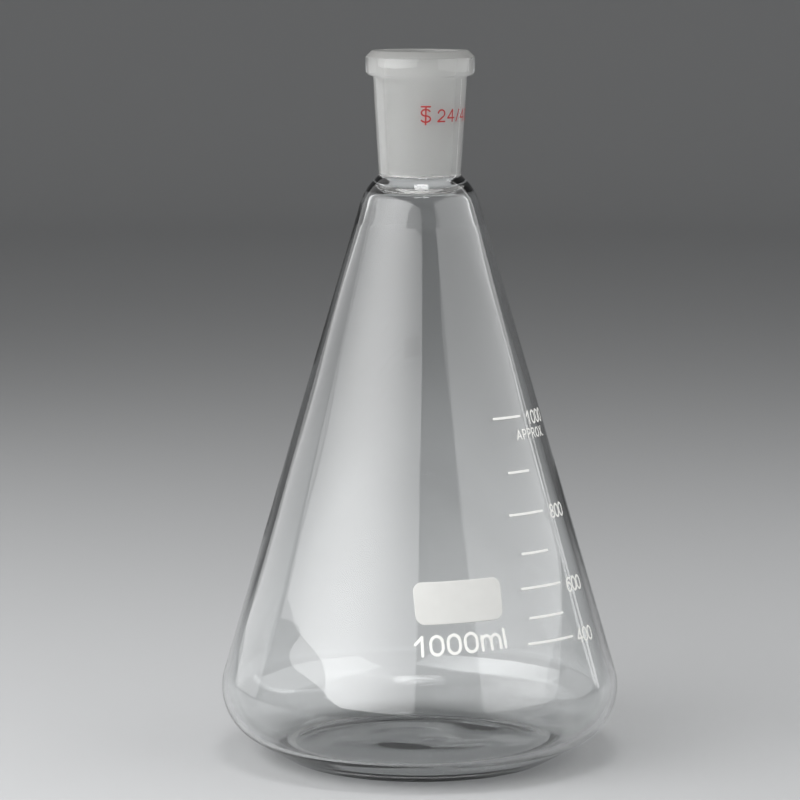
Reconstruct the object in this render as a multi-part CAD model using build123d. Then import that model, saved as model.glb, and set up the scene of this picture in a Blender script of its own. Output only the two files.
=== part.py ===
from build123d import *
from math import acos, atan2, cos, degrees, radians, sin
import os

# A one-litre conical flask with a ground socket, in millimetres.
# It is blown and tooled from one piece of borosilicate glass, and its marks are white enamel, fired on.
# +Z is up. The origin is the centre of the ring that the flask stands on, and the marks face -Y.

# Body
height = 230.0
body_dia = 130.0            # at its widest
widest_height = 22.5        # of the widest ring above the table
heel_radius = 18.1          # outside curve from the cone round to the underside
foot_dia = 88.0             # outside of the ring that stands on the table
land_width = 3.0            # of that ring
punt = 1.0                  # rise of the underside within that ring
shoulder_dia = 39.1         # where the cone ends and the shoulder begins
shoulder_rise = 9.6         # from there to the foot of the socket
wall = 2.2
base_thickness = 3.4        # over the ring that stands on the table

# Socket: a 24/40 taper, 24 mm across at the mouth, 40 mm long, 1 in 10 on the diameter
joint_dia = 24.0
joint_length = 40.0
joint_taper = 0.1
neck_dia = 26.5             # outside, at the foot of the socket
socket_dia = 30.3           # outside, under the collar
mouth_chamfer = 0.5

# Collar at the mouth
collar_dia = 35.0
collar_height = 8.0
collar_chamfer = 1.1        # lower edge
rim_chamfer = 2.0           # upper edge

# Enamel marks, with azimuths in degrees to the right of -Y
enamel = 0.1                # thickness
spot_width = 28.3
spot_height = 12.9
spot_radius = 2.9
spot_azimuth = 12.8
spot_level = 60.6           # middle of the spot above the table
spot_tilt = 1.8             # degrees by which its right-hand end is raised
line_azimuth = 45.7         # middle of the lines
line_stroke = 0.8
# Capacity in ml, height above the table, and degrees that the line runs round the wall
graduations = [
    (400, 45.7, 20.4),
    (500, 53.3, 15.9),
    (600, 62.5, 19.6),
    (700, 73.0, 13.8),
    (800, 85.1, 19.2),
    (900, 98.0, 12.8),
    (1000, 114.9, 19.0),
]

# Places that follow from these, as radius and height
foot = Vector(foot_dia / 2, 0)
heel_centre = Vector(body_dia / 2 - heel_radius, widest_height)
cone_top = Vector(shoulder_dia / 2, height - joint_length - shoulder_rise)
socket_foot = Vector(neck_dia / 2, height - joint_length)
bore_foot = Vector(joint_dia / 2 - joint_taper * joint_length / 2, height - joint_length)


def touch(place, side):
    """Angle on the heel's circle, in degrees, where a line from this place touches it on the given side."""
    gap = place - heel_centre
    return degrees(atan2(gap.Y, gap.X) + side * acos(heel_radius / gap.length))


# The cone and the underside are the lines from its top and from the foot that touch the heel
lean = touch(cone_top, -1)
droop = touch(foot, 1)
outward = Vector(cos(radians(lean)), sin(radians(lean)))


def cone_radius(level):
    """Outside radius of the cone at a height."""
    return cone_top.X + (cone_top.Y - level) * outward.Y / outward.X


def body_side(inset, ground):
    """Side of the body, this deep in from the outside: underside up from the ground, heel and cone."""
    heel = CenterArc(heel_centre, heel_radius - inset, droop, lean - droop)
    slope = heel % 0
    underside = Line(heel @ 0 - slope * ((heel @ 0).Y - ground) / slope.Y, heel @ 0)
    cone = Line(heel @ 1, cone_top - outward * inset)
    return underside, heel, cone


def bevelled(section, place, length):
    """The section with its corner at this place cut off."""
    return chamfer(section.vertices().sort_by_distance(place)[0], length)


def flask():
    """Body, socket and collar turned from one section, with its wall, its floor and its raised underside."""
    mouth = (joint_dia / 2, height)
    collar_foot = (socket_dia / 2, height - collar_height)
    collar_edge = (collar_dia / 2, height - collar_height)
    rim_edge = (collar_dia / 2, height)
    land = foot - (land_width, 0)
    outside = body_side(0, 0)
    inside = body_side(wall, base_thickness)
    shoulder = TangentArc(outside[-1] @ 1, socket_foot, tangent=outside[-1] % 1)
    socket = Polyline(socket_foot, collar_foot, collar_edge, rim_edge, mouth, bore_foot, inside[-1] @ 1)
    base = Polyline(foot, land, land + (-punt, punt), (0, punt), (0, base_thickness), inside[0] @ 0)
    section = make_face([*outside, shoulder, socket, *inside, base])
    section = bevelled(section, collar_edge, collar_chamfer)
    section = bevelled(section, rim_edge, rim_chamfer)
    section = bevelled(section, mouth, mouth_chamfer)
    return revolve(Plane.XZ * section, Axis.Z)


def enamel_skin(low, high):
    """Thin ring that lies on the cone between two heights, to be cut into marks."""
    bottom = Vector(cone_radius(low), low)
    top = Vector(cone_radius(high), high)
    skin = Polyline(bottom, top, top + outward * enamel, bottom + outward * enamel, close=True)
    return revolve(Plane.XZ * make_face(skin), Axis.Z)


def printed(outline, azimuth, level, outline_height):
    """Field of enamel: an outline on an upright plane, thrown outwards from the axis onto the cone."""
    angle = radians(azimuth)
    plane = Plane(
        origin=(0, 0, level),
        x_dir=(cos(angle), sin(angle), 0),
        z_dir=(sin(angle), -cos(angle), 0),
    )
    skin = enamel_skin(level - outline_height, level + outline_height)
    return skin & extrude(plane * outline, body_dia)


def marking_spot():
    """Rounded field for writing on."""
    outline = Rot(0, 0, spot_tilt) * RectangleRounded(spot_width, spot_height, spot_radius)
    return printed(outline, spot_azimuth, spot_level, spot_height)


def graduation_line(level, sweep):
    """One level line that runs this many degrees round the wall."""
    length = 2 * cone_radius(level) * sin(radians(sweep / 2))
    return printed(Rectangle(length, line_stroke), line_azimuth, level, line_stroke)


os.makedirs("parts", exist_ok=True)
export_step(flask(), "parts/flask.step")
export_step(marking_spot(), "parts/marking_spot.step")
lines = [graduation_line(level, sweep) for capacity, level, sweep in graduations]
export_step(Compound(children=lines), "parts/graduation_lines.step")
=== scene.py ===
"""A one-litre conical flask in clear glass, with a ground socket and fired enamel marks."""

from math import acos, atan2, cos, degrees, hypot, radians, sin, tan

import bmesh
import bpy
import numpy as np
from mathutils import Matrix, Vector


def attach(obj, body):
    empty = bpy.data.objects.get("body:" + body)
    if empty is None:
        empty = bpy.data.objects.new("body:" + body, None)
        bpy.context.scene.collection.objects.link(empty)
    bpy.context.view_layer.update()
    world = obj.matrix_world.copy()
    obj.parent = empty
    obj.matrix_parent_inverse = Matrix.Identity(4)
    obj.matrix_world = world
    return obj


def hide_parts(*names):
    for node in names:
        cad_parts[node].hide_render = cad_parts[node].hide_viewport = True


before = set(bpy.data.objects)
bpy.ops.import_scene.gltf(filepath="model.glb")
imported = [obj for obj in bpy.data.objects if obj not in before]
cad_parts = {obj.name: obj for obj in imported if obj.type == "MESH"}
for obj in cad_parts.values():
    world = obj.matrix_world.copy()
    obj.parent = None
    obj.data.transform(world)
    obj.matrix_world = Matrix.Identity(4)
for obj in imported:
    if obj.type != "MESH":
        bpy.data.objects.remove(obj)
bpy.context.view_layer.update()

MM = 0.001

# The flask's section, in millimetres, as radius and height
HEIGHT = 230.0
BODY_RADIUS = 65.0
WIDEST = 22.5               # height of the widest ring
HEEL_RADIUS = 18.1
FOOT_RADIUS = 44.0          # outside of the ring that it stands on
LAND = 3.0                  # width of that ring
PUNT = 1.0                  # rise of the underside within the ring
WALL = 2.2
BASE = 3.4                  # thickness of the floor over the ring
FLOOR_CROWN = 0.9           # rise of the floor towards its middle
SOCKET_LEVEL = 190.0        # where the ground socket begins
CONE_TOP = (19.55, 180.4)   # where the cone ends and the shoulder begins
NECK_RADIUS = 13.25         # outside, at the foot of the socket
SOCKET_RADIUS = 15.15       # outside, under the collar
BORE_FOOT = 10.0            # radius of the bore 40 mm below the mouth
BORE_MOUTH = 12.0
COLLAR_RADIUS = 17.5
COLLAR_LEVEL = 222.0
RIM_CHAMFER = 2.0

# The throat under the ground bore, as corners that are softened later.
# The glass swells there, so the hollow stays narrow and then opens suddenly
THROAT = [
    (11.3, 189.6), (12.1, 188.4), (12.0, 186.6), (12.0, 185.6),
    (13.6, 184.9), (15.4, 183.6), (16.6, 180.6), (17.9, 177.2),
]
THROAT_END = 174.0          # height where it runs into the inside of the cone

# Unevenness of hand work, in millimetres along the surface's normal
WAVES_INSIDE = 0.17
WAVES_OUTSIDE = 0.05
SWIRL = 0.2                 # in the floor, on top of the waves

# A ripple on the outside, low on the left
RIPPLE_AZIMUTH = -51        # degrees
RIPPLE_BREADTH = 0.3        # radians
RIPPLE_LEVEL = 40.0         # its middle
RIPPLE_REACH = 20.0         # how far it goes up and down from there
RIPPLE_ZERO = 39.0          # a height at which its wave is nothing
RIPPLE_PITCH = 26.0         # height of one wave
RIPPLE_DEPTH = 0.14

# Chips on the rim's ground bevel: azimuth in degrees, then height, size and depth
CHIPS = [
    (48, 229.9, 0.4, 0.25),
    (57, 229.5, 0.6, 0.40),
    (63, 228.9, 0.5, 0.30),
    (69, 228.3, 0.5, 0.35),
    (-61, 229.7, 0.5, 0.25),
    (152, 229.3, 0.7, 0.35),
    (-118, 228.7, 0.6, 0.30),
]

TURNS = 216                 # columns round the glass


# Curves in the plane: arrays of points with two columns

def straight(start, end, count):
    """Points at equal steps on the line from start to end: start + t (end - start)."""
    t = np.linspace(0, 1, count)[:, None]
    return np.asarray(start) + t * (np.asarray(end, float) - np.asarray(start))


def bow(centre, radii, start, end, count):
    """Part of an ellipse, with angles in degrees: centre + (rx cos a, ry sin a)."""
    a = np.radians(np.linspace(start, end, count))
    return np.column_stack([centre[0] + radii[0] * np.cos(a), centre[1] + radii[1] * np.sin(a)])


def rounded(before, corner, after, radius, count=7):
    """Arc that rounds a corner: it touches both sides at radius / tan(half the angle between them)."""
    corner = np.asarray(corner, float)
    a = np.asarray(before, float) - corner
    b = np.asarray(after, float) - corner
    a /= np.linalg.norm(a)
    b /= np.linalg.norm(b)
    half = acos(np.clip(a @ b, -1, 1)) / 2
    middle = (a + b) / np.linalg.norm(a + b)
    centre = corner + middle * radius / sin(half)
    first = corner + a * radius / tan(half) - centre
    last = corner + b * radius / tan(half) - centre
    turn = np.linspace(0, 1, count)[:, None] * (np.pi - 2 * half)
    side = last - first * cos(np.pi - 2 * half)
    side /= np.linalg.norm(side)
    return centre + first * np.cos(turn) + side * radius * np.sin(turn)


def tangent_arc(start, direction, end, count):
    """Arc from start, along direction there, to end: its radius is chord / (2 sin(angle to the chord))."""
    start = np.asarray(start, float)
    chord = np.asarray(end, float) - start
    d = np.asarray(direction, float) / np.linalg.norm(direction)
    off = atan2(d[0] * chord[1] - d[1] * chord[0], d @ chord)
    radius = np.linalg.norm(chord) / (2 * sin(off))
    centre = start + radius * np.array([-d[1], d[0]])
    a = np.linspace(0, 2 * off, count)[:, None]
    arm = start - centre
    return centre + arm * np.cos(a) + np.array([-arm[1], arm[0]]) * np.sin(a)


def softened(points, passes=2):
    """Corner cutting: in each pass, each side gives way to its points at one and three quarters of it."""
    points = np.asarray(points, float)
    for _ in range(passes):
        a, b = points[:-1], points[1:]
        cut = np.stack([0.75 * a + 0.25 * b, 0.25 * a + 0.75 * b], 1).reshape(-1, 2)
        points = np.concatenate([points[:1], cut, points[-1:]])
    return points


# Centre of the heel's circle
HEEL = np.array([BODY_RADIUS - HEEL_RADIUS, WIDEST])


def touch(place, side):
    """Angle in degrees where a line from this place touches the heel: bearing +- acos(radius / distance)."""
    gap = np.asarray(place) - HEEL
    return degrees(atan2(gap[1], gap[0]) + side * acos(HEEL_RADIUS / hypot(*gap)))


# The cone and the underside are the lines that touch the heel at these angles
LEAN = touch(CONE_TOP, -1)
DROOP = touch((FOOT_RADIUS, 0), 1)
OUTWARD = np.array([cos(radians(LEAN)), sin(radians(LEAN))])


def cone_radius(level):
    """Outside radius of the cone at a height."""
    return CONE_TOP[0] + (CONE_TOP[1] - level) * OUTWARD[1] / OUTWARD[0]


def side_of_body(inset, ground):
    """Ends of the side's three stretches, this deep in from the outside, from the ground to the cone's top.

    They are the underside's foot, where it meets the heel, where the heel meets the cone, and the top.
    """
    radius = HEEL_RADIUS - inset
    low = HEEL + radius * np.array([cos(radians(DROOP)), sin(radians(DROOP))])
    high = HEEL + radius * OUTWARD
    slope = np.array([-sin(radians(DROOP)), cos(radians(DROOP))])
    foot = low - slope * (low[1] - ground) / slope[1]
    return foot, low, high, np.array(CONE_TOP) - OUTWARD * inset


def glass_profile():
    """The closed section as one line, from the axis below, up the outside and down the inside to the axis.

    The underside rises as 1 - (r / ring)^4, and the floor's crown as the square of a quarter cosine wave.
    """
    foot, low, high, top = side_of_body(0, 0)
    floor, low_in, high_in, top_in = side_of_body(WALL, BASE)
    neck = (NECK_RADIUS, SOCKET_LEVEL)
    under_collar = (SOCKET_RADIUS, COLLAR_LEVEL)
    collar = (COLLAR_RADIUS, COLLAR_LEVEL)
    bevel = (COLLAR_RADIUS, HEIGHT - RIM_CHAMFER)
    rim = (COLLAR_RADIUS - RIM_CHAMFER, HEIGHT)
    mouth = (BORE_MOUTH, HEIGHT)
    bore = (BORE_FOOT, SOCKET_LEVEL)
    ring = (FOOT_RADIUS - LAND, 0)
    upward = top - high
    shoulder = tangent_arc(top, upward, neck, 18)
    throat_end = top_in + (high_in - top_in) * (top_in[1] - THROAT_END) / (top_in[1] - high_in[1])
    hollow = straight((0, 0), (ring[0], 0), 26)
    hollow[:, 1] = PUNT * (1 - (hollow[:, 0] / ring[0])**4)
    crown = straight((floor[0] - 9, 0), (0, 0), 26)
    crown[:, 1] = BASE + FLOOR_CROWN * np.cos(crown[:, 0] / crown[0, 0] * np.pi / 2)**2
    return np.concatenate([
        hollow[:-1],
        rounded(hollow[-2], ring, foot, 0.8, 4),
        rounded(ring, foot, low, 2.5, 6),
        straight(foot + (low - foot) * 0.25, low, 8),
        bow(HEEL, (HEEL_RADIUS, HEEL_RADIUS), DROOP, LEAN, 44)[1:],
        straight(high, top, 62)[1:],
        shoulder[1:-2],
        rounded(shoulder[-2], neck, under_collar, 1.5, 7),
        straight(neck, under_collar, 15)[2:-1],
        rounded(neck, under_collar, collar, 0.8, 6),
        rounded(under_collar, collar, bevel, 1.3, 8),
        rounded(collar, bevel, rim, 0.7, 5),
        straight(bevel, rim, 7)[2:-2],
        rounded(bevel, rim, mouth, 0.7, 5),
        rounded(rim, mouth, bore, 0.5, 6),
        straight(mouth, bore, 24)[1:-1],
        softened([bore, *THROAT, throat_end]),
        straight(throat_end, high_in, 60)[1:],
        bow(HEEL, (HEEL_RADIUS - WALL, HEEL_RADIUS - WALL), LEAN, DROOP, 40)[1:],
        rounded(low_in, floor, (0, BASE), 14.0, 14),
        crown,
    ])


# Meshes

def piece_from(name, points, faces, materials, face_material=None):
    """One closed mesh from whole arrays, in millimetres: doubles are merged, and it is shaded smooth."""
    mesh = bpy.data.meshes.new(name)
    mesh.from_pydata(points * MM, [], faces)
    for material in materials:
        mesh.materials.append(material)
    if face_material is not None:
        mesh.polygons.foreach_set("material_index", face_material)
    work = bmesh.new()
    work.from_mesh(mesh)
    bmesh.ops.remove_doubles(work, verts=work.verts, dist=1e-7)
    work.to_mesh(mesh)
    work.free()
    mesh.polygons.foreach_set("use_smooth", np.ones(len(mesh.polygons), bool))
    mesh.update()
    thing = bpy.data.objects.new(name, mesh)
    bpy.context.collection.objects.link(thing)
    return thing


def grid_faces(rows, columns, wrap_rows=False, wrap_columns=False, start=0):
    """Quads of a grid of rows by columns: each joins a point to its neighbours along and across."""
    i = np.arange(rows if wrap_rows else rows - 1)[:, None]
    j = np.arange(columns if wrap_columns else columns - 1)[None, :]
    i2, j2 = (i + 1) % rows, (j + 1) % columns
    corners = (i * columns + j, i * columns + j2, i2 * columns + j2, i2 * columns + j)
    return np.stack(np.broadcast_arrays(*corners), -1).reshape(-1, 4) + start


def hand_work(radius, level, azimuth, inside):
    """Unevenness of blown glass, in mm along the surface's normal: a few slow sines round and up the wall.

    The inside has the larger waves, the floor has a swirl that winds outwards, and the ground socket none.
    Low on the left, the outside has a ripple: an odd bump g exp(-g^2) round the wall, times a sine up it.
    Each chip on the rim is a dent of depth exp(-distance^2 / size^2).
    """
    body = np.clip((186 - level) / 12, 0, 1)
    waves = (
        0.5 * np.sin(2 * azimuth + level / 31 + 1.1)
        + 0.3 * np.sin(3 * azimuth - level / 17 - 0.7)
        + 0.2 * np.sin(5 * azimuth + level / 9 + 2.0)
    )
    low = np.clip((26 - level) / 20, 0, 1)
    swirl = np.sin(2 * azimuth - radius / 3.1) * 0.6 + np.sin(3 * azimuth + radius / 4.7 + 1.0) * 0.4
    middle = np.clip(radius / 14, 0, 1)**2
    deep = body * middle * (WAVES_INSIDE * waves + SWIRL * low * swirl)
    shallow = WAVES_OUTSIDE * body * middle * (waves - 1) * np.clip(level / 8, 0, 1)
    turned = (azimuth + np.pi) % (2 * np.pi) - np.pi
    g = (turned - radians(RIPPLE_AZIMUTH)) / RIPPLE_BREADTH
    window = np.exp(-((level - RIPPLE_LEVEL) / RIPPLE_REACH)**2)
    up_the_wall = np.sin(2 * np.pi * (level - RIPPLE_ZERO) / RIPPLE_PITCH)
    shallow = shallow - RIPPLE_DEPTH * g * np.exp(-g**2) * window * up_the_wall
    for place, height, size, depth in CHIPS:
        away = ((turned - radians(place)) * radius)**2 + (level - height)**2
        shallow = shallow - depth * np.exp(-away / size**2)
    return np.where(inside, deep, shallow)


def flask(clear, ground, ground_rim):
    """The glass: its section turned about the axis, (r sin a, -r cos a, z), and made uneven by hand_work.

    It is ground in the bore and on the rim, from a little below the bevel, and clear everywhere else. The
    rim's ground glass is a darker, clearer copy of the bore's: painted shade that keeps the top lamp's light
    on the rim down.
    """
    profile = glass_profile()
    along = np.gradient(profile, axis=0)
    along /= np.linalg.norm(along, axis=1)[:, None]
    normal = np.column_stack([along[:, 1], -along[:, 0]])
    a = np.linspace(0, 2 * np.pi, TURNS, endpoint=False)[None, :]
    r, z = profile[:, :1], profile[:, 1:]
    # The inside begins after the highest row that lies within the mouth
    mouth_row = int(np.argmax(np.where(r[:, 0] < BORE_MOUTH + 1, z[:, 0], 0)))
    inside = (np.arange(len(profile)) > mouth_row)[:, None]
    lift = hand_work(r, z, a, inside)
    r = r + lift * normal[:, :1]
    z = z + lift * normal[:, 1:]
    r[0], r[-1] = 0, 0
    points = np.stack([r * np.sin(a), -r * np.cos(a), z], -1).reshape(-1, 3)
    faces = grid_faces(len(profile), TURNS, wrap_columns=True)
    middle = (profile[1:] + profile[:-1]) / 2
    bore = inside[1:, 0] & (middle[:, 1] > SOCKET_LEVEL)
    # The rim's rows get the darker copy of the ground glass: painted shade
    rim = middle[:, 1] > HEIGHT - RIM_CHAMFER - 0.2
    finishes = [clear, ground, ground_rim]
    finish = np.repeat(np.where(rim, 2, bore).astype(np.int32), TURNS)
    return piece_from("flask_glass", points, faces, finishes, finish)


# Fired marks: thin layers that lie on the glass, laid out in millimetres across and up

SINK = 0.03                 # how far a mark's underside lies within the glass


def cone_wall(level):
    """Radius of the body's outside at a height, and the direction that it faces."""
    return cone_radius(level), OUTWARD


def socket_wall(level):
    """Radius of the socket's outside at a height, and the direction that it faces."""
    flare = (SOCKET_RADIUS - NECK_RADIUS) / (COLLAR_LEVEL - SOCKET_LEVEL)
    return NECK_RADIUS + (level - SOCKET_LEVEL) * flare, np.array([1.0, -flare]) / hypot(1, flare)


def on_glass(wall, azimuth, level, tilt, flat, straight_on=False):
    """Lays points (across, up, lift) on the wall, turned by tilt degrees about (azimuth, level).

    The angle round the axis is across / radius, or its arcsine where the outline is seen straight on.
    """
    t = radians(tilt)
    across = flat[..., 0] * cos(t) - flat[..., 1] * sin(t)
    z = level + flat[..., 0] * sin(t) + flat[..., 1] * cos(t)
    radius, facing = wall(z)
    if straight_on:
        a = radians(azimuth) + np.arcsin(across / radius)
    else:
        a = radians(azimuth) + across / wall(level)[0]
    r = radius + flat[..., 2] * facing[0]
    return np.stack([r * np.sin(a), -r * np.cos(a), z + flat[..., 2] * facing[1]], -1)


def evenly(path, step):
    """The same path with points at even steps along it."""
    run = np.concatenate([[0], np.cumsum(np.linalg.norm(np.diff(path, axis=0), axis=1))])
    at = np.linspace(0, run[-1], max(int(run[-1] / step), 2) + 1)
    return np.column_stack([np.interp(at, run, path[:, k]) for k in (0, 1)])


def ribbon(path, width, thickness, closed):
    """A stroke of enamel: a flat bead with rolled edges carried along the path, with half-round ends.

    The bead is (half width) sgn(cos f) |cos f|^0.6 across and sgn(sin f) |sin f|^0.5 up. It narrows as cos g
    at an end, and its edge wavers by a few hundredths, as a print's does.
    """
    line = evenly(path, 0.3)
    if closed:
        line = line[:-1]
        along = np.roll(line, -1, 0) - np.roll(line, 1, 0)
        narrow = np.ones(len(line))
    else:
        along = np.gradient(line, axis=0)
        g = np.radians(np.linspace(90, 15, 6))
        first = along[0] / np.linalg.norm(along[0])
        last = along[-1] / np.linalg.norm(along[-1])
        line = np.concatenate([
            line[0] - first * width / 2 * np.sin(g)[:, None],
            line,
            line[-1] + last * width / 2 * np.sin(g[::-1])[:, None],
        ])
        along = np.concatenate([np.tile(first, (6, 1)), along, np.tile(last, (6, 1))])
        narrow = np.concatenate([np.cos(g), np.ones(len(line) - 12), np.cos(g[::-1])])
    along = along / np.linalg.norm(along, axis=1)[:, None]
    side = np.column_stack([along[:, 1], -along[:, 0]])
    f = np.linspace(0, 2 * np.pi, 12, endpoint=False)
    spread = np.sign(np.cos(f)) * np.abs(np.cos(f))**0.6
    rise = np.sign(np.sin(f)) * np.abs(np.sin(f))**0.5
    x, y = line.T
    uneven = 1 + 0.05 * np.sin(x * 2.3 + y * 3.1) + 0.03 * np.sin(x * 7.1 - y * 5.3)
    half = width / 2 * narrow * uneven
    flat = line[:, None, :] + side[:, None, :] * (half[:, None] * spread)[..., None]
    body = (thickness + SINK) / 2
    lift = body - SINK + rise[None, :] * body * np.sqrt(narrow)[:, None]
    points = np.concatenate([flat, lift[..., None]], -1)
    return points, grid_faces(len(line), len(f), wrap_rows=closed, wrap_columns=True)


def stroke(*parts):
    """One pen stroke: its parts joined end to end."""
    return np.concatenate([np.asarray(p, float) for p in parts])


# Letters drawn by a round pen. Their middle lines are one unit high; each has its width and its strokes
ROUND = stroke(
    bow((0.35, 0.63), (0.35, 0.37), 0, 180, 24),
    bow((0.35, 0.37), (0.35, 0.37), 180, 360, 24),
    [(0.7, 0.63)],
)
P_BOWL = stroke([(0, 1)], bow((0.38, 0.74), (0.26, 0.26), 90, -90, 20), [(0, 0.48)])
LETTERS = {
    "0": (0.70, [ROUND]),
    "1": (0.58, [stroke([(0, 0.62), (0.38, 0.98)]), stroke([(0.40, 1), (0.40, 0)])]),
    "2": (0.68, [
        stroke(bow((0.34, 0.68), (0.31, 0.32), 168, -38, 26), [(0.06, 0.06)]),
        stroke([(0.02, 0), (0.68, 0)]),
    ]),
    "4": (0.72, [
        stroke([(0.50, 1), (0, 0.30)]),
        stroke([(0, 0.30), (0.72, 0.30)]),
        stroke([(0.52, 1), (0.52, 0)]),
    ]),
    "6": (0.70, [
        bow((0.36, 0.32), (0.33, 0.32), 0, 360, 40),
        stroke(bow((0.42, 0.55), (0.39, 0.45), 50, 180, 24), [(0.03, 0.32)]),
    ]),
    "8": (0.68, [
        bow((0.34, 0.76), (0.26, 0.24), 0, 360, 36),
        bow((0.34, 0.26), (0.33, 0.26), 0, 360, 40),
    ]),
    "m": (1.12, [
        stroke([(0, 0.76), (0, 0)]),
        stroke([(0, 0.4)], bow((0.28, 0.46), (0.28, 0.30), 170, 0, 20), [(0.56, 0)]),
        stroke([(0.56, 0.4)], bow((0.84, 0.46), (0.28, 0.30), 170, 0, 20), [(1.12, 0)]),
    ]),
    "l": (0.0, [stroke([(0, 0.98), (0, 0)])]),
    "A": (0.80, [
        stroke([(0, 0), (0.40, 1)]),
        stroke([(0.40, 1), (0.80, 0)]),
        stroke([(0.14, 0.33), (0.66, 0.33)]),
    ]),
    "P": (0.64, [stroke([(0, 1), (0, 0)]), P_BOWL]),
    "R": (0.68, [stroke([(0, 1), (0, 0)]), P_BOWL, stroke([(0.34, 0.48), (0.68, 0)])]),
    "O": (0.84, [bow((0.42, 0.5), (0.42, 0.5), 0, 360, 44)]),
    "X": (0.70, [stroke([(0, 0), (0.70, 1)]), stroke([(0, 1), (0.70, 0)])]),
    ".": (0.0, [stroke([(0, 0), (0.02, 0)])]),
    "/": (0.36, [stroke([(0, 0), (0.36, 1)])]),
    # The general sign for a standard taper: a T with an S across its stem, and a space after it
    "taper": (1.2, [
        stroke([(0.05, 1.28), (0.81, 1.28)]),
        stroke([(0.43, 1.28), (0.43, -0.25)]),
        stroke(
            bow((0.43, 0.76), (0.38, 0.28), 25, 265, 26),
            bow((0.43, 0.22), (0.41, 0.27), 85, -155, 26),
        ),
    ]),
}


def lettering(words, height, pen, gap):
    """Strokes of a line of letters, centred on its middle, with how each is closed.

    The letters' middle lines are height - pen high, and gap is the space between letters in the same units.
    """
    unit = height - pen
    place = 0.0
    strokes = []
    for letter in words:
        width, lines = LETTERS[letter]
        for line in lines:
            closed = bool(np.allclose(line[0], line[-1]))
            strokes.append((line * unit + [place, pen / 2], closed))
        place += (width + gap) * unit
    middle = (place - gap * unit) / 2
    return [(line - [middle, 0], closed) for line, closed in strokes]


def marks(name, enamel, wall, places, thickness):
    """All strokes of one colour as one mesh. Each place is azimuth, level, tilt, pen and its strokes."""
    points, faces, count = [], [], 0
    for azimuth, level, tilt, pen, strokes in places:
        for line, closed in strokes:
            flat, quads = ribbon(line, pen, thickness, closed)
            points.append(on_glass(wall, azimuth, level, tilt, flat).reshape(-1, 3))
            faces.append(quads + count)
            count += len(points[-1])
    return piece_from(name, np.concatenate(points), np.concatenate(faces), [enamel])


ENAMEL = 0.07               # height of the white marks above the glass
RED_ENAMEL = 0.04           # height of the socket's mark

# Graduations: height above the table, middle azimuth, and degrees that the line runs round the wall
LINES = [
    (45.4, 45.6, 20.7),
    (53.1, 45.6, 16.2),
    (62.2, 46.1, 19.9),
    (72.7, 46.1, 14.1),
    (84.8, 46.2, 19.5),
    (97.7, 46.3, 13.1),
    (114.6, 46.2, 19.4),
]
LINE_PEN = 0.8
LINE_TILT = -0.8

# Words: azimuth and height of the middle of their foot, tilt, letter height, pen, and gap between letters
WORDS = [
    ("1000ml", 13.15, 44.3, 3.1, 6.5, 0.96, 0.31),
    ("400", 63.3, 42.2, -2.0, 4.75, 0.74, 0.21),
    ("600", 64.8, 58.1, -2.4, 4.8, 0.74, 0.21),
    ("800", 66.5, 81.3, -2.4, 4.6, 0.72, 0.22),
    ("1000", 70.8, 111.0, -2.4, 4.5, 0.68, 0.31),
    ("APPROX.", 62.6, 106.9, -2.0, 3.35, 0.52, 0.36),
]

# The socket's mark, in the same way
SIZE_MARK = (["taper", "2", "4", "/", "4", "0"], 44.8, 207.6, -0.5, 4.2, 0.5, 0.31)


def graduation_lines(enamel):
    """Level strokes on the cone, each as long as its sweep times the radius there."""
    places = []
    for level, azimuth, sweep in LINES:
        length = cone_radius(level) * radians(sweep) - LINE_PEN
        line = straight((-length / 2, 0), (length / 2, 0), 12)
        places.append((azimuth, level, LINE_TILT, LINE_PEN, [(line, False)]))
    return marks("graduation_lines_enamel", enamel, cone_wall, places, ENAMEL)


def numerals(enamel):
    """The capacity and the numbers beside the graduations."""
    places = [
        (azimuth, level, tilt, pen, lettering(words, height, pen, gap))
        for words, azimuth, level, tilt, height, pen, gap in WORDS
    ]
    return marks("numerals_enamel", enamel, cone_wall, places, ENAMEL)


def taper_mark(enamel):
    """The socket's size, 24/40, after the sign for a standard taper."""
    words, azimuth, level, tilt, height, pen, gap = SIZE_MARK
    place = (azimuth, level, tilt, pen, lettering(words, height, pen, gap))
    return marks("taper_mark_enamel", enamel, socket_wall, [place], RED_ENAMEL)


SPOT = (28.3, 12.9, 2.9)    # width, height and corner radius
SPOT_PLACE = (13.1, 60.15, 1.8)     # azimuth and height of its middle, and tilt
SPOT_ROLL = 0.2             # width of the edge over which it thins out


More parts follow.
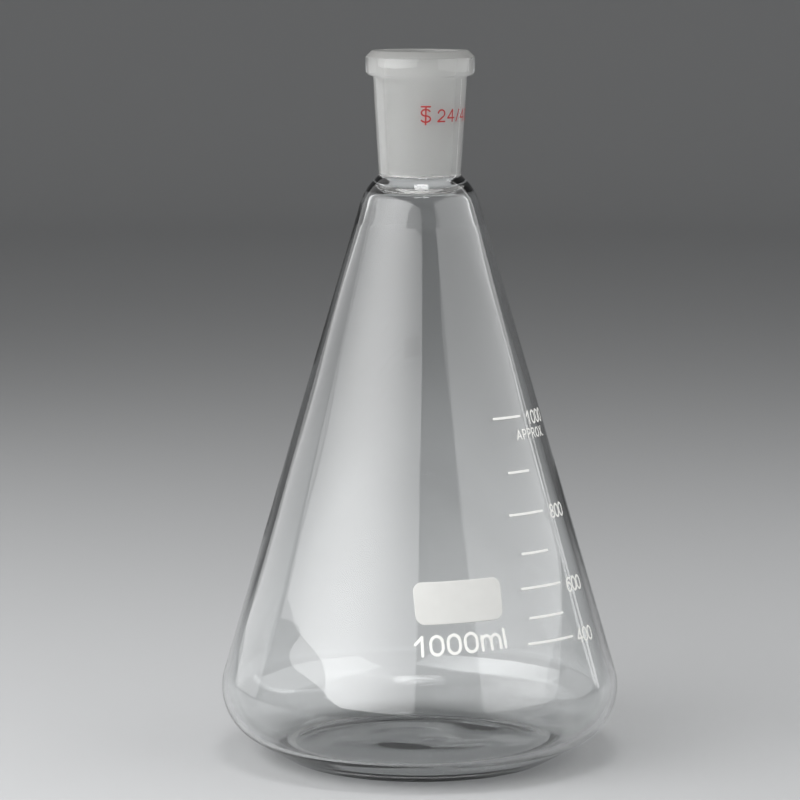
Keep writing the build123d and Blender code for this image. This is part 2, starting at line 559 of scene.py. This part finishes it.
def marking_spot(enamel):
    """The field for writing on: a rounded rectangle filled by rows, each as wide as its outline there.

    Half width at height y is w/2 - r + sqrt(r^2 - (|y| - h/2 + r)^2) in the corners. The layer thins out to
    nothing at its edge, as 1 - (1 - distance / roll)^2.
    """
    width, height, radius = SPOT
    edge = np.array([0, 0.12, 0.3, 0.6, 1.0]) * SPOT_ROLL
    rows_between = np.linspace(edge[-1], height - edge[-1], 60)[1:-1]
    up = np.concatenate([edge, rows_between, height - edge[::-1]]) - height / 2
    into_corner = np.maximum(np.abs(up) - height / 2 + radius, 0)
    reach = width / 2 - radius + np.sqrt(np.maximum(radius**2 - into_corner**2, 0))
    end = edge / width
    part = np.concatenate([end, np.linspace(end[-1], 1 - end[-1], 110)[1:-1], 1 - end[::-1]])
    across = reach[:, None] * (2 * part[None, :] - 1)
    up = np.broadcast_to(up[:, None], across.shape)
    inset = np.minimum(reach[:, None] - np.abs(across), (height / 2 - np.abs(up)))
    full = 1 - (1 - np.clip(inset / SPOT_ROLL, 0, 1))**2
    top = np.stack([across, up, -SINK + (ENAMEL + SINK) * full], -1)
    under = np.stack([across, up, np.full_like(across, -SINK)], -1)
    azimuth, level, tilt = SPOT_PLACE
    skin = np.stack([top, under])
    points = on_glass(cone_wall, azimuth, level, tilt, skin, straight_on=True)
    rows, columns = across.shape
    outer = grid_faces(rows, columns)
    inner = grid_faces(rows, columns, start=rows * columns)[:, ::-1]
    faces = np.concatenate([outer, inner])
    return piece_from("marking_spot_enamel", points.reshape(-1, 3), faces, [enamel])


# Materials

def linear(code):
    """An sRGB hex colour as linear red, green, blue and alpha."""
    c = np.array([int(code[k:k + 2], 16) for k in (1, 3, 5)]) / 255
    c = np.where(c <= 0.04045, c / 12.92, ((c + 0.055) / 1.055)**2.4)
    return (*c.tolist(), 1.0)


def add(tree, kind, settings=None, links=None):
    """One more node, with its settings by name and its input sockets set to values or linked to outputs."""
    node = tree.nodes.new(kind)
    for name, value in (settings or {}).items():
        setattr(node, name, value)
    for socket, value in (links or {}).items():
        if isinstance(value, bpy.types.NodeSocket):
            tree.links.new(value, node.inputs[socket])
        else:
            node.inputs[socket].default_value = value
    return node


def material(name):
    """An empty material with its output node."""
    made = bpy.data.materials.new(name)
    made.use_nodes = True
    made.node_tree.nodes.clear()
    return made, made.node_tree, add(made.node_tree, "ShaderNodeOutputMaterial")


def object_point(tree, scale=(1, 1, 1)):
    """Object coordinates in metres, stretched by scale."""
    place = add(tree, "ShaderNodeTexCoord").outputs["Object"]
    return add(tree, "ShaderNodeMapping", links={"Vector": place, "Scale": scale}).outputs["Vector"]


def spread(tree, value, low, high):
    """A noise value taken from 0..1 to low..high."""
    node = add(tree, "ShaderNodeMapRange", links={"Value": value, "To Min": low, "To Max": high})
    return node.outputs["Result"]


def borosilicate_glass():
    """Borosilicate glass, blown and fire polished: clear and bright, faintly dull in patches from hands."""
    made, tree, out = material("borosilicate_glass_fire_polished")
    patch_spacing = 14.0
    patches = add(tree, "ShaderNodeTexNoise", links={
        "Vector": object_point(tree),
        "Scale": 1 / (patch_spacing * MM),
        "Detail": 3.0,
    })
    shader = add(tree, "ShaderNodeBsdfPrincipled", links={
        "Base Color": linear("#FDFEFE"),
        "Roughness": spread(tree, patches.outputs["Fac"], 0.0, 0.02),
        "IOR": 1.473,
        "Transmission Weight": 1.0,
    })
    tree.links.new(shader.outputs["BSDF"], out.inputs["Surface"])
    return made


def ground_glass(name, colour, clearness):
    """Glass ground with grit to a matt face: milky, because each pit scatters what comes through.

    The real pits are far finer than this grit, which is coarse enough to show.
    """
    made, tree, out = material(name)
    grit = 0.35
    pits = add(tree, "ShaderNodeTexNoise", links={
        "Vector": object_point(tree),
        "Scale": 1 / (grit * MM),
        "Detail": 3.0,
    })
    relief = add(tree, "ShaderNodeBump", links={
        "Height": pits.outputs["Fac"],
        "Strength": 0.25,
        "Distance": 0.02 * MM,
    })
    shader = add(tree, "ShaderNodeBsdfPrincipled", links={
        "Base Color": linear(colour),
        "Roughness": spread(tree, pits.outputs["Fac"], 0.55, 0.75),
        "IOR": 1.473,
        "Transmission Weight": clearness,
        "Normal": relief.outputs["Normal"],
    })
    tree.links.new(shader.outputs["BSDF"], out.inputs["Surface"])
    return made


def fired_enamel(name, light, dark, gloss):
    """Ceramic enamel, screen printed and fired on: opaque, satin, a little uneven from the screen's mesh.

    A real screen is finer than this mesh, which is coarse enough to show.
    """
    made, tree, out = material(name)
    cloud_spacing = 4.0
    mesh_spacing = 0.4
    cloud = add(tree, "ShaderNodeTexNoise", links={
        "Vector": object_point(tree),
        "Scale": 1 / (cloud_spacing * MM),
        "Detail": 3.0,
    })
    weave = add(tree, "ShaderNodeTexNoise", links={
        "Vector": object_point(tree),
        "Scale": 1 / (mesh_spacing * MM),
    })
    colour = add(tree, "ShaderNodeMix", {"data_type": "RGBA"}, {
        "Factor": cloud.outputs["Fac"],
        "A": linear(dark),
        "B": linear(light),
    })
    relief = add(tree, "ShaderNodeBump", links={
        "Height": weave.outputs["Fac"],
        "Strength": 0.2,
        "Distance": 0.02 * MM,
    })
    shader = add(tree, "ShaderNodeBsdfPrincipled", links={
        "Base Color": colour.outputs["Result"],
        "Roughness": spread(tree, weave.outputs["Fac"], gloss - 0.06, gloss + 0.06),
        "Normal": relief.outputs["Normal"],
    })
    tree.links.new(shader.outputs["BSDF"], out.inputs["Surface"])
    return made


def matt_paper():
    """Studio background paper: plain, pale and matt, with the faintest tooth."""
    made, tree, out = material("studio_paper_matt")
    tooth_spacing = 2.5
    tooth = add(tree, "ShaderNodeTexNoise", links={
        "Vector": object_point(tree),
        "Scale": 1 / (tooth_spacing * MM),
        "Detail": 2.0,
    })
    relief = add(tree, "ShaderNodeBump", links={
        "Height": tooth.outputs["Fac"],
        "Strength": 0.05,
        "Distance": 0.1 * MM,
    })
    shader = add(tree, "ShaderNodeBsdfPrincipled", links={
        "Base Color": linear("#B6B7B8"),
        "Roughness": 0.9,
        "Specular IOR Level": 0.2,
        "Normal": relief.outputs["Normal"],
    })
    tree.links.new(shader.outputs["BSDF"], out.inputs["Surface"])
    return made


# The studio

def backdrop(paper):
    """A round floor whose edge sweeps up into a wall: flat, then a quarter circle, then straight up."""
    flat, sweep, top = 2000, 700, 2400
    turns = 96
    profile = np.concatenate([
        straight((0, 0), (flat, 0), 20),
        bow((flat, sweep), (sweep, sweep), -90, 0, 20)[1:],
        straight((flat + sweep, sweep), (flat + sweep, top), 8)[1:],
    ])
    a = np.linspace(0, 2 * np.pi, turns, endpoint=False)[None, :]
    r, z = profile[:, :1], profile[:, 1:]
    points = np.stack([r * np.sin(a), -r * np.cos(a), np.broadcast_to(z, (len(profile), turns))], -1)
    faces = grid_faces(len(profile), turns, wrap_columns=True)[:, ::-1]
    thing = piece_from("studio_floor", points.reshape(-1, 3), faces, [paper])


def softbox(name, azimuth, elevation, distance, size, radiance, edge=1.0):
    """A flat lamp that faces the flask, with its power worked out as radiance x pi x area.

    Azimuth and elevation are in degrees as seen from the flask, distance and size in metres. The lamp is
    brightest in its middle, and falls off smoothly to edge times that at its left and right.
    """
    lamp = bpy.data.lights.new(name, "AREA")
    lamp.shape = "RECTANGLE"
    lamp.size, lamp.size_y = size
    lamp.energy = radiance * np.pi * size[0] * size[1]
    if edge < 1:
        lamp.use_nodes = True
        tree = lamp.node_tree
        place = add(tree, "ShaderNodeNewGeometry").outputs["Parametric"]
        across = add(tree, "ShaderNodeSeparateXYZ", links={"Vector": place}).outputs["X"]
        doubled = add(tree, "ShaderNodeMath", {"operation": "MULTIPLY_ADD"}, {0: across, 1: 2.0, 2: -1.0})
        off = add(tree, "ShaderNodeMath", {"operation": "ABSOLUTE"}, {0: doubled.outputs[0]})
        fall = add(tree, "ShaderNodeMapRange", {"interpolation_type": "SMOOTHSTEP"}, {
            "Value": off.outputs[0],
            "To Min": 1.0,
            "To Max": edge,
        })
        tree.links.new(fall.outputs["Result"], tree.nodes["Emission"].inputs["Strength"])
    thing = bpy.data.objects.new(name, lamp)
    thing.visible_camera = False
    a, e = radians(azimuth), radians(elevation)
    aim = Vector((0, 0, 0.11))
    thing.location = aim + distance * Vector((sin(a) * cos(e), -cos(a) * cos(e), sin(e)))
    thing.rotation_euler = (aim - thing.location).to_track_quat("-Z", "Y").to_euler()
    bpy.context.collection.objects.link(thing)


def sky(strength):
    """Plain light from above the wall's open top."""
    world = bpy.data.worlds.new("studio_air")
    bpy.context.scene.world = world
    world.use_nodes = True
    world.node_tree.nodes["Background"].inputs["Color"].default_value = (1, 1, 1, 1)
    world.node_tree.nodes["Background"].inputs["Strength"].default_value = strength


def camera():
    """The photograph's view: from well away and a little above, through a long lens, aimed a little left."""
    lens = bpy.data.cameras.new("camera")
    lens.sensor_width = 36
    lens.lens = 161.4
    lens.clip_end = 20
    thing = bpy.data.objects.new("camera", lens)
    thing.location = Vector((0, -1157, 273)) * MM
    aim = Vector((-6.45, 0, 116.63)) * MM
    thing.rotation_euler = (aim - thing.location).to_track_quat("-Z", "Y").to_euler()
    bpy.context.collection.objects.link(thing)
    bpy.context.scene.camera = thing


white = fired_enamel("white_enamel_fired", "#F4F4F0", "#EAEAE6", 0.40)
matt_white = fired_enamel("white_enamel_matt_for_pencil", "#D4D4D1", "#CDCDCA", 0.60)
red = fired_enamel("red_enamel_fired", "#B01C1A", "#9E1614", 0.42)

glass = flask(
    borosilicate_glass(),
    ground_glass("borosilicate_glass_ground", "#DADAD8", 0.35),
    # The rim is the same ground glass as the bore. This copy is darker grey and clearer as painted shade, so
    # that the rim shows dimmer under the top lamp
    ground_glass("borosilicate_glass_ground_rim_painted_shade", "#A6A6A4", 0.6),
)
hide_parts("flask")
spot = marking_spot(matt_white)
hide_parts("marking_spot")
lines = graduation_lines(white)
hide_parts("graduation_lines")
numbers = numerals(white)
size_mark = taper_mark(red)
for piece in (glass, spot, lines, numbers, size_mark):
    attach(piece, "root")

backdrop(matt_paper())
softbox("left_softbox", -53, 27, 0.55, (1.24, 0.4), 4.7, edge=0.4)
softbox("left_rear_softbox", -123, 24, 0.8, (0.55, 0.9), 0.8)
softbox("right_softbox", 79, 26, 0.6, (1.08, 0.5), 1.5)
softbox("right_rear_strip", 123.5, 28, 0.8, (0.045, 1.0), 2.2)
softbox("top_lamp", 7, 74, 1.2, (0.42, 0.24), 12.0)
sky(0.3)
camera()
bpy.context.scene.view_settings.view_transform = "Standard"
